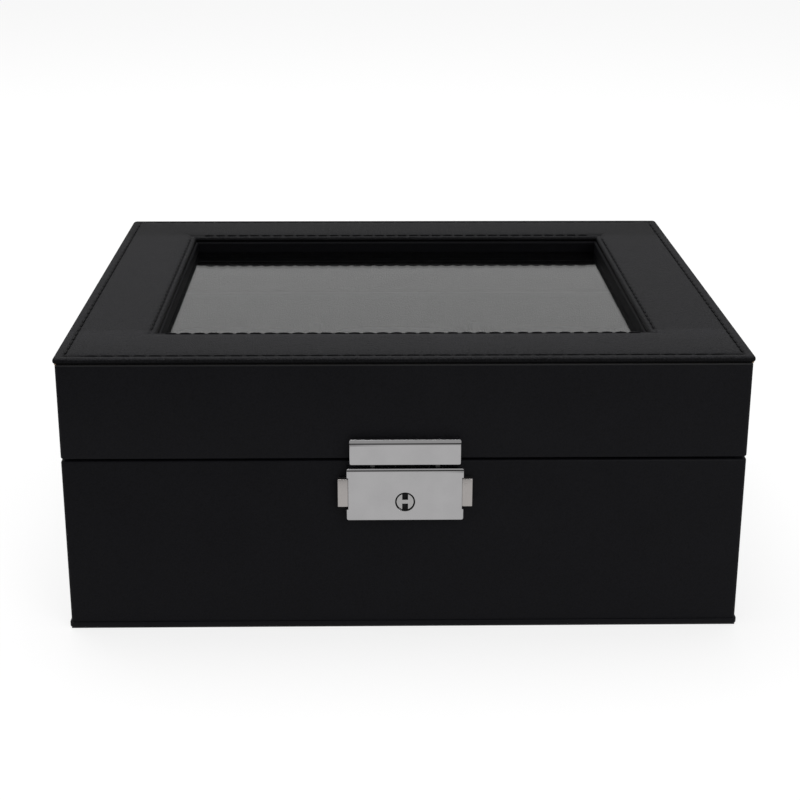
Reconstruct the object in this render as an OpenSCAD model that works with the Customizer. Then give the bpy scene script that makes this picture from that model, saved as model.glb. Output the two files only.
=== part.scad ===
// Watch box with a glass lid: wrapped board case, two butt hinges, push-button lock
// and six watch cushions. Millimetres, +Z up, the front of the box faces -Y.
// The origin is on the ground under the middle of the case.

/* [Case] */
// Width over the wrapped walls
box_w = 200; // [190:1:260]
// Depth over the wrapped walls
box_d = 175; // [165:1:220]
// Height to the top of the lid's leather
box_h = 85; // [82:0.5:95]
// Height of the middle of the seam between base and lid
seam_z = 53.8; // [53:0.2:58]
// Open gap between base and lid at the seam
seam_gap = 0.6; // [0.4:0.1:1]
// Thickness of the base's wall boards
wall_t = 8; // [7:0.5:10]
// Thickness of the leather wrap
wrap_t = 0.8; // [0.5:0.1:1]
// Radius of the case's upright corners
corner_r = 1.3; // [0.6:0.1:1.8]

/* [Foot] */
// Thickness of the felt under the case
felt_t = 0.5; // [0.3:0.1:1]
// How far the felt stays back from the bottom panel's edge
felt_inset = 0.5; // [0.5:0.5:5]
// Thickness of the bottom panel
bottom_t = 1.6; // [1:0.1:2]
// How far the bottom panel stands proud of the walls
bottom_proud = 0.4; // [0.2:0.1:1]
// Thickness of the floor board between the walls
floor_t = 3; // [2:0.5:4]

/* [Lining and cells] */
// Thickness of the base's velvet lining cards
lining_t = 1.8; // [1.2:0.1:2.5]
// Height of the lining's lip above the base's rim
lip_h = 4; // [3:0.5:5]
// Gap between the lip and the lid's walls
lip_clear = 0.4; // [0.3:0.1:0.6]
// Thickness of the velvet pad on the floor
pad_t = 2; // [1:0.5:3]
// Thickness of the divider cards
divider_t = 4; // [3:0.5:5]
// Height of the dividers above the floor pad
divider_h = 39; // [30:1:40]
// Side play of the dividers in the lining and in each other's slots
divider_play = 0.1; // [0.05:0.05:0.2]

/* [Watch cushions] */
// Height of a cushion
pillow_h = 43; // [38:1:44]
// Gap at each side of a cushion
pillow_side_gap = 1.4; // [1:0.1:4]
// Gap at the front and rear of a cushion
pillow_end_gap = 1.9; // [1:0.1:6]
// Gap under a cushion
pillow_rest_gap = 0.3; // [0.2:0.1:0.5]
// Share of its height that a cushion keeps at its side faces
pillow_face = 0.86; // [0.8:0.02:0.9]

/* [Lid] */
// Thickness of the board round the window
window_board_t = 3; // [2:0.5:4]
// Width of the lid's frame, from the walls' outside to the wrapped window edge
rail_w = 26.7; // [24:0.1:32]
// How far the top panel's opening stays back from the wrapped window edge
panel_step = 0.7; // [0.5:0.1:1.5]
// How far the top panel stands proud of the walls
panel_proud = 0.5; // [0.2:0.1:1]
// Thickness of the top panel's board
panel_board_t = 0.8; // [0.6:0.1:1.2]
// Thickness of the top panel's foam
panel_foam_t = 0.6; // [0.4:0.1:1]
// Thickness of the top panel's leather
panel_leather_t = 0.6; // [0.4:0.1:0.8]
// Shadow gap between the lid's walls and the turned edge of the top panel
panel_shadow = 0.3; // [0.2:0.1:0.5]
// Thickness of the glass
glass_t = 2; // [1.5:0.5:3]
// How far the glass reaches under the window board
glass_lap = 5; // [3:0.5:8]
// Side play of the glass in its retainer
glass_play = 0.3; // [0.2:0.1:0.5]
// Thickness of the retainer under the glass
retainer_t = 2.5; // [2:0.1:3]
// Gap between the base's lip and the lid's lining
lining_gap = 0.6; // [0.5:0.1:1]

/* [Stitching] */
// Distance of the outer stitching from the top panel's edge
outer_stitch_in = 3; // [2:0.1:5]
// Distance of the inner stitching from the top panel's opening
inner_stitch_in = 1.8; // [1.2:0.1:4]
// Width of a row of thread
thread_w = 0.7; // [0.5:0.1:1]
// Height of a row of thread above the leather
thread_h = 0.3; // [0.2:0.05:0.4]

/* [Hinges] */
// Distance of each hinge's middle from the side of the box
hinge_in = 45; // [30:1:60]
// Width of a hinge
hinge_w = 30; // [24:1:36]
// Radius of the hinge pin
hinge_pin_r = 0.9; // [0.7:0.1:1]
// Radius of the hinge knuckles
knuckle_r = 2; // [1.8:0.1:2.5]
// Gap between the knuckles and the rear of the box
knuckle_clear = 0.3; // [0.3:0.1:0.6]
// Gap along the pin between two knuckles
knuckle_play = 0.2; // [0.1:0.05:0.3]
// Radial clearance of a pin in its knuckle
pin_clear = 0.05; // [0.02:0.01:0.1]
// Thickness of a hinge leaf
leaf_t = 0.9; // [0.85:0.05:1]
// How far a hinge leaf reaches in from the rear of the box
leaf_reach = 7; // [6.5:0.5:8]
// Distance of the hinge screws from the middle of the hinge
hinge_screw_x = 9; // [6:0.5:10]
// Radius of a hinge screw
hinge_screw_r = 0.9; // [0.7:0.1:1]
// Radius of a hinge screw's head
hinge_head_r = 1.7; // [1.5:0.1:2]
// Length of a hinge screw
hinge_screw_len = 8; // [5:1:12]

/* [Lock case] */
// Width of the lock case
lock_w = 34.1; // [33:0.1:38]
// Height of the lock case
lock_h = 16; // [15.8:0.1:18]
// Gap between the hasp and the lock case
lock_gap = 1.1; // [0.8:0.1:1.5]
// Thickness of the lock case
lock_t = 3.4; // [3.3:0.1:4]
// Thickness of the lock case's front
lock_face_t = 1; // [0.9:0.1:1.1]
// Thickness of the lock case's sides
lock_side_t = 1.1; // [0.9:0.1:1.2]
// Bevel round the front of the lock case
lock_bevel = 0.4; // [0.3:0.1:0.9]
// Depth of the step that each button stands in
notch_depth = 0.5; // [0.3:0.1:0.6]
// Thickness of the lock's back plate
back_plate_t = 0.8; // [0.6:0.1:0.8]
// Clearance between pieces of the lock that slide or sit in each other
lock_play = 0.2; // [0.15:0.05:0.25]
// Radius of a lock or hasp screw
lock_screw_r = 0.8; // [0.6:0.1:0.8]
// Radius of a lock or hasp screw's head
lock_head_r = 1.6; // [1.4:0.1:1.8]
// Height of a lock or hasp screw's head
lock_head_h = 1; // [0.8:0.1:1.2]

/* [Hasp] */
// Width of the hasp plate
hasp_w = 32.3; // [30:0.1:36]
// Height of the hasp plate
hasp_h = 7.6; // [7:0.1:9]
// Thickness of the hasp plate
hasp_t = 3; // [2.9:0.1:3.4]
// How far the hasp plate reaches below the lid's rim
hasp_drop = 0.9; // [0.6:0.1:1.2]
// Distance of each hook from the middle of the lock
hook_x = 9.5; // [9.3:0.1:10]
// Width of a hook's leg
hook_w = 1.3; // [1:0.1:1.5]
// Thickness of the hooks
hook_t = 0.9; // [0.7:0.1:0.9]
// How far the hooks reach into the lock case
hook_reach = 6.1; // [5.5:0.1:6.5]
// How far a hook's barb reaches towards the middle
barb = 0.8; // [0.5:0.1:0.9]
// Height of a hook's barb
barb_h = 1.2; // [0.8:0.1:1.4]

/* [Buttons and key] */
// Height of a button
button_h = 8.7; // [8:0.1:9]
// How far a button stands out of the lock case's side
button_out = 2.6; // [2.4:0.1:3]
// Thickness of a button
button_t = 2.2; // [2:0.1:2.3]
// How far a button is pushed in
button_travel = 1.6; // [1.2:0.1:1.6]
// Height of the key barrel above the lock case's lower edge
plug_up = 5.8; // [5.7:0.1:6.2]
// Radius of the key barrel's face
plug_r = 2.6; // [2.5:0.1:2.8]
// Radius of the key barrel's tail
plug_tail_r = 1.4; // [1.2:0.1:1.5]
// Reach of the locking cam
cam_r = 4.7; // [4.4:0.1:4.7]
// Width of each key notch
key_notch_w = 1.7; // [1.5:0.1:2.2]
// Height of the bridge between the key notches
key_bridge = 1.2; // [1:0.1:1.6]

/* [Hidden] */

$fn = 48;
eps = 0.01; // overshoot of a cutter past the face that it leaves

// Plan sizes, half widths in X and Y
outer = [box_w / 2, box_d / 2];
boards = [outer.x - wrap_t, outer.y - wrap_t];
inside = [boards.x - wall_t, boards.y - wall_t];
lid_wall_t = wall_t - lip_clear;
lid_inside = [boards.x - lid_wall_t, boards.y - lid_wall_t];
cell_room = [inside.x - lining_t, inside.y - lining_t];
window = [outer.x - rail_w, outer.y - rail_w];
board_window = [window.x + wrap_t, window.y + wrap_t];
panel = [outer.x + panel_proud, outer.y + panel_proud];
panel_window = [window.x + panel_step, window.y + panel_step];

// Heights of the base
bottom_top = felt_t + bottom_t;
floor_top = bottom_top + floor_t;
pad_top = floor_top + pad_t;
base_top = seam_z - seam_gap / 2;
base_board_top = base_top - wrap_t;
lip_top = base_top + lip_h;
divider_top = pad_top + divider_h;

// Heights of the lid, from the top down
panel_base = box_h - panel_leather_t - panel_foam_t - panel_board_t;
window_board_top = panel_base - wrap_t;
glass_top = window_board_top - window_board_t;
retainer_bottom = glass_top - glass_t - retainer_t;
lid_bottom = seam_z + seam_gap / 2;
lid_board_bottom = lid_bottom + wrap_t;
lid_lining_bottom = lip_top + lining_gap;
wrap_lap = (rail_w - wrap_t) / 2; // how far the wrap is turned over the window board

// Cells and cushions
columns = 3;
cell_w = (2 * cell_room.x - (columns - 1) * divider_t) / columns;
cell_d = cell_room.y - divider_t / 2;
cross_x = (cell_w + divider_t) / 2;
column_x = cell_w + divider_t;
row_y = (cell_d + divider_t) / 2;
pillow_w = cell_w - 2 * pillow_side_gap;
pillow_d = cell_d - 2 * pillow_end_gap;
pillow_z = pad_top + pillow_rest_gap + pillow_h / 2;
pillow_points = 40; // corners of a cushion's outline
pillow_power = 2.6; // squareness of a cushion's outline: 2 is an ellipse
pillow_shoulder_w = 3; // distance of a cushion's shoulder from its side face
pillow_shoulder = (1 + pillow_face) / 2 + 0.03; // share of its height at that shoulder

// Hinges
hinge_x = outer.x - hinge_in;
hinge_y = outer.y + knuckle_clear + knuckle_r;
knuckle_w = hinge_w / 3;
screw_clear = 0.05; // radial clearance of a screw in its hole
mortise_clear = 0.15; // play round a hinge leaf in the wrap
hinge_screw_y = outer.y - leaf_reach / 2;
hinge_head_h = leaf_t - 0.1; // the leaf keeps a rim of 0.1 under the countersink

// Lock: y is counted from the case's front face
front = -outer.y;
hasp_bottom = lid_bottom - hasp_drop;
lock_top = hasp_bottom - lock_gap;
lock_bottom = lock_top - lock_h;
plug_z = lock_bottom + plug_up;
lock_roof = lock_top - lock_face_t;
lock_ground = lock_bottom + lock_face_t - 0.1;
cavity_half = lock_w / 2 - lock_side_t;
cavity_front = front - lock_t + lock_face_t;
plate_front = front - back_plate_t;
latch_t = plate_front - cavity_front - 2 * lock_play;
latch_front = cavity_front + lock_play;
plate_half = cavity_half - lock_play;
plate_notch_w = 1.3; // how far in the back plate is cut away for a button
plate_notch_play = 0.4; // room above and below a button in that notch
plate_notch = cavity_half - plate_notch_w;
pass_gap = 0.3; // room between pieces of the lock that pass each other
button_reach = lock_w / 2 + button_out;
button_neck = 0.15; // how far inside the case a button grows to its full thickness
button_head = lock_w / 2 - button_neck;
button_back = 0.5; // gap between a button's back and the wall of the box
button_front = front - button_back - button_t;
button_lift = 0.3; // how far a button sits above the middle of the case
button_mid_z = lock_bottom + lock_h / 2 + button_lift;
notch_rim = 0.55; // how far the step round a button reaches past its ends
plug_clear = 0.2; // radial running clearance of the key barrel
plug_sink = 0.1; // how far the barrel's face lies inside the case's face
plug_head_t = lock_face_t + plug_sink;
plug_front = front - lock_t + plug_sink;
notch_cut = 0.9; // depth of the key notches
cam_half = 1.6; // half the width of the locking cam's bar
cam_hub = 0.8; // thickness of the cam's hub round the tail
clip_r = 2.4; // spring clip on the barrel's tail
clip_t = 0.5;
clip_gap = 0.1; // gap between that clip and the back plate
seat_clear = 0.02; // radial clearance of the pieces fixed to the barrel's tail
tail_reach = 1.2; // how far the barrel's tail reaches into the wall
tail_end = front + tail_reach;
pocket_r = 3.4; // recess for the barrel's tail in the front wall
pocket_depth = 2;

// Latch plates: distances from the middle of the lock, at rest
latch_inner = cam_r + pass_gap;
latch_post_w = 2;
latch_block = hook_x + hook_w / 2 + button_travel + pass_gap;
arm_drop = 0.8; // how far the arm starts below the key barrel's middle
arm_room = 1; // room between the arm and the end of a hook
latch_arm_low = plug_z - arm_drop;
latch_arm_high = lock_top - hook_reach - arm_room;
latch_headroom = 2.7; // room between the latch plates and the case's roof
latch_top = lock_roof - latch_headroom;
block_step = 0.6; // how far the latch's block stays below the top of its button
latch_block_top = button_mid_z + button_h / 2 - block_step;
tooth_tip = hook_x - hook_w / 2 - barb - pass_gap;
tooth_h = 0.9;
spring_r = 0.75;
spring_wire = 0.3;
spring_turns = 7;
spring_up = 2; // height of the springs' axis above the floor of the case
spring_z = lock_ground + spring_up;
spring_stop = [4.6, 5.4]; // rib of the case that each spring pushes against
rib_over = 0.1; // how far that rib stands above its spring
lug_x = 10.6; // start of the latch plate's lug that the spring pushes
lug_w = 1.2;
lug_drop = 1; // how far the lug reaches below the spring's axis

// Screw places of the lock case and the hasp, x and z
lock_screw_x = 14;
low_screw_z = lock_ground + 1.4;
high_screw_z = lock_roof - 2.1;
lock_screws_at = [[0, high_screw_z], [-lock_screw_x, low_screw_z], [lock_screw_x, low_screw_z]];
hasp_screw_x = 5;
hasp_screw_z = hasp_bottom + 3.8;
hasp_screws_at = [[-hasp_screw_x, hasp_screw_z], [hasp_screw_x, hasp_screw_z]];
boss_r = 1.4;
hasp_wall = 1; // thickness of the hasp plate's shell
hook_bar_in = 3; // gap between the hooks' bar and the hasp's inner sides
bar_half = hasp_w / 2 - hasp_wall - hook_bar_in;
hook_root = 0.5; // how far the hooks' legs run up over the bar
hook_back = 0.35; // gap between the hooks and the inside of the case's front
hook_front = cavity_front + hook_back;
hook_low = lock_top - hook_reach;
hook_slot_over = 0.1; // how far a hook's slot runs past the back plate's front

leather = [0.09, 0.09, 0.1];
leather_top = [0.17, 0.17, 0.18];
board = [0.55, 0.44, 0.32];
velvet = [0.08, 0.08, 0.09];
chrome = [0.75, 0.75, 0.76];
steel = [0.6, 0.6, 0.62];

// ---------- shapes used by several pieces ----------

// A block between two half sizes, mirrored about X and Y
module slab(half, z0, z1) {
    translate([-half.x, -half.y, z0]) cube([2 * half.x, 2 * half.y, z1 - z0]);
}

// The same block with its upright corners rounded
module round_slab(half, z0, z1) {
    slab([half.x - corner_r, half.y], z0, z1);
    slab([half.x, half.y - corner_r], z0, z1);
    for (x = [-1, 1], y = [-1, 1])
        translate([x * (half.x - corner_r), y * (half.y - corner_r), z0])
            cylinder(h = z1 - z0, r = corner_r);
}

// A rectangular ring
module frame(half, hole, z0, z1) {
    difference() {
        slab(half, z0, z1);
        slab(hole, z0 - eps, z1 + eps);
    }
}

// A box from its low corner to its high corner
module span(low, high) {
    translate(low) cube(high - low);
}

// A cylinder along Y from y0 to y1
module rod_y(x, z, r, y0, y1) {
    translate([x, y0, z]) rotate([-90, 0, 0]) cylinder(h = y1 - y0, r = r);
}

// Both hinges, one on each side
module each_hinge() {
    for (side = [-1, 1]) translate([side * hinge_x, 0, 0]) children();
}

// ---------- base ----------

module base_side_wall(side) {
    x0 = side > 0 ? inside.x : -boards.x;
    span([x0, -boards.y, bottom_top], [x0 + wall_t, boards.y, base_board_top]);
}

module base_left_wall() color(board) base_side_wall(-1);

module base_right_wall() color(board) base_side_wall(1);

module base_front_wall() color(board) difference() {
    span([-inside.x, -boards.y, bottom_top], [inside.x, -inside.y, base_board_top]);
    rod_y(0, plug_z, pocket_r, front, front + pocket_depth);
    for (at = lock_screws_at) lock_screw_hole(at, -inside.y);
}

module base_rear_wall() color(board) difference() {
    span([-inside.x, inside.y, bottom_top], [inside.x, boards.y, base_board_top]);
    each_hinge() for (side = [-1, 1])
        translate([side * hinge_screw_x, hinge_screw_y, base_board_top - hinge_screw_len])
            cylinder(h = hinge_screw_len + eps, r = hinge_screw_r + screw_clear);
}

module base_floor() color(board) slab(inside, bottom_top, floor_top);

module bottom_panel() color(leather)
    round_slab([outer.x + bottom_proud, outer.y + bottom_proud], felt_t, bottom_top);

module bottom_felt() color("dimgray")
    slab([outer.x + bottom_proud - felt_inset, outer.y + bottom_proud - felt_inset], 0, felt_t);

module base_wrap() color(leather) difference() {
    round_slab(outer, bottom_top, base_top);
    slab(boards, bottom_top - eps, base_board_top);
    slab(inside, bottom_top, base_top + eps);
    each_hinge() leaf_pocket(base_board_top, base_top + eps);
    rod_y(0, plug_z, pocket_r, front - eps, front + pocket_depth);
    for (at = lock_screws_at)
        rod_y(at.x, at.y, lock_screw_r + screw_clear, front - eps, -inside.y);
}

module lining_side(side) {
    x0 = side > 0 ? cell_room.x : -inside.x;
    span([x0, -inside.y, floor_top], [x0 + lining_t, inside.y, lip_top]);
}

module lining_end(side) {
    y0 = side > 0 ? cell_room.y : -inside.y;
    span([-cell_room.x, y0, floor_top], [cell_room.x, y0 + lining_t, lip_top]);
}

module base_lining_left() color(velvet) lining_side(-1);

module base_lining_right() color(velvet) lining_side(1);

module base_lining_front() color(velvet) lining_end(-1);

module base_lining_rear() color(velvet) lining_end(1);

module floor_pad() color(velvet) slab(cell_room, floor_top, pad_top);

module long_divider() color(velvet) difference() {
    slab([cell_room.x - divider_play, divider_t / 2], pad_top, divider_top);
    for (side = [-1, 1]) translate([side * cross_x, 0, 0])
        slab([divider_t / 2 + divider_play, divider_t], pad_top + divider_h / 2, divider_top + eps);
}

module cross_divider(side) {
    translate([side * cross_x, 0, 0]) difference() {
        slab([divider_t / 2, cell_room.y - divider_play], pad_top, divider_top);
        slab([divider_t, divider_t / 2 + divider_play], pad_top - eps, pad_top + divider_h / 2);
    }
}

module cross_divider_left() color(velvet) cross_divider(-1);

module cross_divider_right() color(velvet) cross_divider(1);

// ---------- hinges ----------

module leaf_pocket(z0, z1) {
    half = hinge_w / 2 + mortise_clear;
    span([-half, outer.y - leaf_reach - mortise_clear, z0], [half, outer.y + eps, z1]);
}

// A knuckle's X range: 0 is the left, 1 the middle and 2 the right one
function knuckle_x(n) = -hinge_w / 2 + n * knuckle_w + (n > 0 ? knuckle_play / 2 : 0);
function knuckle_len(n) = knuckle_w - (n == 1 ? knuckle_play : knuckle_play / 2);

// A leaf whose plate spans z0 to z1, carrying the listed knuckles
module hinge_leaf(z0, z1, knuckles, head_up) {
    difference() {
        union() {
            span([-hinge_w / 2, outer.y - leaf_reach, z0], [hinge_w / 2, outer.y, z1]);
            for (n = knuckles) {
                span([knuckle_x(n), outer.y - eps, z0], [knuckle_x(n) + knuckle_len(n), hinge_y, z1]);
                translate([knuckle_x(n), hinge_y, seam_z]) rotate([0, 90, 0])
                    cylinder(h = knuckle_len(n), r = knuckle_r);
            }
        }
        translate([-hinge_w, hinge_y, seam_z]) rotate([0, 90, 0])
            cylinder(h = 2 * hinge_w, r = hinge_pin_r + pin_clear);
        for (side = [-1, 1]) translate([side * hinge_screw_x, hinge_screw_y, head_up ? z1 : z0])
            mirror([0, 0, head_up ? 0 : 1]) screw_sink();
    }
}

// The countersunk hole under a screw head that lies at z = 0
module screw_sink() {
    translate([0, 0, -hinge_head_h])
        cylinder(h = hinge_head_h, r1 = hinge_screw_r + screw_clear, r2 = hinge_head_r + screw_clear);
    translate([0, 0, -hinge_head_h - 1]) cylinder(h = 1 + eps, r = hinge_screw_r + screw_clear);
    cylinder(h = 1, r = hinge_head_r + screw_clear);
}

// A countersunk wood screw whose head lies at z = 0 and points down
module hinge_screw() {
    translate([0, 0, -hinge_screw_len])
        cylinder(h = hinge_screw_len - hinge_head_h, r = hinge_screw_r);
    translate([0, 0, -hinge_head_h])
        cylinder(h = hinge_head_h, r1 = hinge_screw_r, r2 = hinge_head_r);
}

module base_leaf() hinge_leaf(base_board_top, base_board_top + leaf_t, [0, 2], true);

module lid_leaf() hinge_leaf(lid_board_bottom - leaf_t, lid_board_bottom, [1], false);

module left_hinge_base_leaf() color(steel) translate([-hinge_x, 0, 0]) base_leaf();

module right_hinge_base_leaf() color(steel) translate([hinge_x, 0, 0]) base_leaf();

module left_hinge_lid_leaf() color(steel) translate([-hinge_x, 0, 0]) lid_leaf();

module right_hinge_lid_leaf() color(steel) translate([hinge_x, 0, 0]) lid_leaf();

module hinge_pins() color(steel) each_hinge()
    translate([-hinge_w / 2, hinge_y, seam_z]) rotate([0, 90, 0])
        cylinder(h = hinge_w, r = hinge_pin_r);

module base_hinge_screws() color(steel) each_hinge() for (side = [-1, 1])
    translate([side * hinge_screw_x, hinge_screw_y, base_board_top + leaf_t]) hinge_screw();

module lid_hinge_screws() color(steel) each_hinge() for (side = [-1, 1])
    translate([side * hinge_screw_x, hinge_screw_y, lid_board_bottom - leaf_t])
        mirror([0, 0, 1]) hinge_screw();

// ---------- lock ----------

// The hole for a lock or hasp screw through the wall whose inner face is at y_in
module lock_screw_hole(at, y_in) {
    rod_y(at.x, at.y, lock_screw_r + screw_clear, front - eps, y_in);
    rod_y(at.x, at.y, lock_head_r + screw_clear, y_in - lock_head_h, y_in + eps);
}

// A pan head screw from the wall's inner face into its boss
module lock_screw(at, y_tip, y_in) {
    rod_y(at.x, at.y, lock_screw_r, y_tip, y_in - lock_head_h + eps);
    rod_y(at.x, at.y, lock_head_r, y_in - lock_head_h, y_in);
}

// A plate on the front of the box, bevelled round its front face
module bevelled_plate(w, t, z0, z1, bevel) {
    side = [[0, z0], [0, z1], [-t + bevel, z1], [-t, z1 - bevel], [-t, z0 + bevel], [-t + bevel, z0]];
    plan = [
        [-w / 2, 0], [w / 2, 0], [w / 2, bevel - t], [w / 2 - bevel, -t],
        [bevel - w / 2, -t], [-w / 2, bevel - t]
    ];
    translate([0, front, 0]) intersection() {
        translate([-w / 2 - 1, 0, 0]) rotate([90, 0, 90])
            linear_extrude(w + 2) polygon(side);
        translate([0, 0, z0 - 1]) linear_extrude(z1 - z0 + 2) polygon(plan);
    }
}

module lock_housing() color(chrome) difference() {
    union() {
        difference() {
            bevelled_plate(lock_w, lock_t, lock_bottom, lock_top, lock_bevel);
            span([-cavity_half, cavity_front, lock_ground], [cavity_half, front + eps, lock_roof]);
            for (side = [-1, 1]) button_window(side);
            for (side = [-1, 1]) hook_slot(side);
        }
        for (at = lock_screws_at) rod_y(at.x, at.y, boss_r, cavity_front - eps, plate_front);
        for (side = [-1, 1]) spring_rib(side);
    }
    rod_y(0, plug_z, plug_r + plug_clear, front - lock_t - eps, cavity_front + eps);
    for (at = lock_screws_at)
        rod_y(at.x, at.y, lock_screw_r + screw_clear, cavity_front, front + eps);
}

// The side opening that a button slides in, and the step round it
module button_window(side) {
    half_z = button_h / 2 + lock_play;
    step_z = button_h / 2 + notch_rim;
    mirror([side > 0 ? 0 : 1, 0, 0]) {
        span([plate_notch + pass_gap, button_front - lock_play, button_mid_z - half_z],
             [lock_w / 2 + eps, front + eps, button_mid_z + half_z]);
        span([lock_w / 2 - notch_depth, front - lock_t - eps, button_mid_z - step_z],
             [lock_w / 2 + eps, front + eps, button_mid_z + step_z]);
    }
}

module hook_slot(side) {
    mirror([side > 0 ? 0 : 1, 0, 0])
        span([tooth_tip, cavity_front, lock_roof - eps],
             [hook_x + hook_w / 2 + pass_gap, plate_front + hook_slot_over, lock_top + eps]);
}

module spring_rib(side) {
    mirror([side > 0 ? 0 : 1, 0, 0])
        span([spring_stop[0], cavity_front - eps, lock_ground - eps],
             [spring_stop[1], plate_front, spring_z + spring_r + rib_over]);
}

module lock_back_plate() color(steel) difference() {
    span([-plate_half, plate_front, lock_ground + lock_play],
         [plate_half, front, lock_roof - lock_play]);
    for (side = [-1, 1]) mirror([side > 0 ? 0 : 1, 0, 0])
        span([plate_notch, plate_front - eps, button_mid_z - button_h / 2 - plate_notch_play],
             [cavity_half, front + eps, button_mid_z + button_h / 2 + plate_notch_play]);
    rod_y(0, plug_z, plug_tail_r + plug_clear, plate_front - eps, front + eps);
    for (at = lock_screws_at)
        rod_y(at.x, at.y, lock_screw_r + screw_clear, plate_front - eps, front + eps);
}

module lock_screws() color(steel)
    for (at = lock_screws_at) lock_screw(at, cavity_front + lock_play, -inside.y);

// The latch plate and button of the right-hand side
module latch() {
    y0 = latch_front;
    y1 = latch_front + latch_t;
    post_end = latch_inner + latch_post_w;
    span([latch_inner, y0, latch_arm_low], [post_end, y1, latch_top]);
    span([post_end - eps, y0, latch_top - tooth_h], [tooth_tip, y1, latch_top]);
    span([post_end - eps, y0, latch_arm_low], [latch_block + eps, y1, latch_arm_high]);
    span([latch_block, y0, latch_arm_low], [button_head + eps, y1, latch_block_top]);
    span([lug_x, y0, spring_z - lug_drop], [lug_x + lug_w, y1, latch_arm_low + eps]);
    span([button_head, button_front, button_mid_z - button_h / 2],
         [button_reach, button_front + button_t, button_mid_z + button_h / 2]);
}

module right_button() color(chrome) latch();

module left_button() color(chrome) mirror([1, 0, 0]) latch();

// A coil spring along X, between its rib and the latch plate's lug
spring_end_gap = 0.02;
spring_x0 = spring_stop[1] + spring_wire / 2 + spring_end_gap;
spring_x1 = lug_x - spring_wire / 2 - spring_end_gap;
spring_sides = 6;
spring_rings_per_turn = 14;
spring_rings = spring_turns * spring_rings_per_turn;
spring_mid_r = spring_r - spring_wire / 2;

// Ring k of the wire: its corners lie in the plane through the spring's axis
function spring_ring(k) =
    let (turn = 360 * k / spring_rings_per_turn)
    let (x = spring_x0 + (spring_x1 - spring_x0) * k / spring_rings)
    [for (s = [0:spring_sides - 1])
        let (a = 360 * s / spring_sides)
        let (r = spring_mid_r + spring_wire / 2 * cos(a))
        [x + spring_wire / 2 * sin(a), r * cos(turn), r * sin(turn)]];

module coil_spring() {
    last = spring_rings * spring_sides;
    points = [for (k = [0:spring_rings]) each spring_ring(k)];
    walls = [for (k = [0:spring_rings - 1], s = [0:spring_sides - 1])
        let (a = k * spring_sides + s, b = k * spring_sides + (s + 1) % spring_sides)
        each [[a, b, b + spring_sides], [a, b + spring_sides, a + spring_sides]]];
    caps = [[for (s = [spring_sides - 1:-1:0]) s], [for (s = [0:spring_sides - 1]) last + s]];
    translate([0, latch_front + latch_t / 2, spring_z])
        polyhedron(points = points, faces = concat(walls, caps));
}

module right_latch_spring() color(steel) coil_spring();

module left_latch_spring() color(steel) mirror([1, 0, 0]) coil_spring();

module key_plug() color(steel) difference() {
    union() {
        rod_y(0, plug_z, plug_r, plug_front, plug_front + plug_head_t);
        rod_y(0, plug_z, plug_tail_r, plug_front, tail_end);
    }
    for (side = [-1, 1]) {
        z0 = plug_z + (side > 0 ? key_bridge / 2 : -key_bridge / 2 - plug_r);
        span([-key_notch_w / 2, plug_front - eps, z0],
             [key_notch_w / 2, plug_front + notch_cut, z0 + plug_r]);
    }
}

module locking_cam() color(steel) difference() {
    intersection() {
        rod_y(0, plug_z, cam_r, latch_front, latch_front + latch_t);
        union() {
            span([-cam_half, latch_front - 1, plug_z - cam_r], [cam_half, front, plug_z + cam_r]);
            rod_y(0, plug_z, plug_tail_r + cam_hub, latch_front - 1, front);
        }
    }
    rod_y(0, plug_z, plug_tail_r + seat_clear, latch_front - 1, front);
}

module plug_clip() color(steel) difference() {
    rod_y(0, plug_z, clip_r, front + clip_gap, front + clip_gap + clip_t);
    rod_y(0, plug_z, plug_tail_r + seat_clear, front, front + clip_gap + clip_t + eps);
}

// ---------- lid ----------

module lid_side_wall(side) {
    x0 = side > 0 ? lid_inside.x : -boards.x;
    span([x0, -boards.y, lid_board_bottom], [x0 + lid_wall_t, boards.y, glass_top]);
}

module lid_left_wall() color(board) lid_side_wall(-1);

module lid_right_wall() color(board) lid_side_wall(1);

module lid_front_wall() color(board) difference() {
    span([-lid_inside.x, -boards.y, lid_board_bottom], [lid_inside.x, -lid_inside.y, glass_top]);
    for (at = hasp_screws_at) lock_screw_hole(at, -lid_inside.y);
}

module lid_rear_wall() color(board) difference() {
    span([-lid_inside.x, lid_inside.y, lid_board_bottom], [lid_inside.x, boards.y, glass_top]);
    each_hinge() for (side = [-1, 1])
        translate([side * hinge_screw_x, hinge_screw_y, lid_board_bottom - eps])
            cylinder(h = hinge_screw_len, r = hinge_screw_r + screw_clear);
}

module lid_window_board() color(board)
    frame(boards, board_window, glass_top, window_board_top);

module lid_wrap() color(leather) difference() {
    round_slab(outer, lid_bottom, panel_base);
    slab(boards, lid_board_bottom, window_board_top);
    slab(lid_inside, lid_bottom - eps, lid_board_bottom + eps);
    slab([outer.x - wrap_lap, outer.y - wrap_lap], window_board_top - eps, panel_base + eps);
    each_hinge() leaf_pocket(lid_bottom - eps, lid_board_bottom);
    for (at = hasp_screws_at)
        rod_y(at.x, at.y, lock_screw_r + screw_clear, front - eps, -lid_inside.y);
}

module window_edge_wrap() color(leather) {
    frame(board_window, window, glass_top, panel_base);
    frame([outer.x - wrap_lap, outer.y - wrap_lap], board_window, window_board_top, panel_base);
}

module top_panel_board() color(board) top_layer(panel_base, panel_base + panel_board_t);

module top_panel_foam() color("gainsboro")
    top_layer(panel_base + panel_board_t, box_h - panel_leather_t);

module top_layer(z0, z1) {
    frame([panel.x - panel_leather_t, panel.y - panel_leather_t],
          [panel_window.x + panel_leather_t, panel_window.y + panel_leather_t], z0, z1);
}

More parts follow.
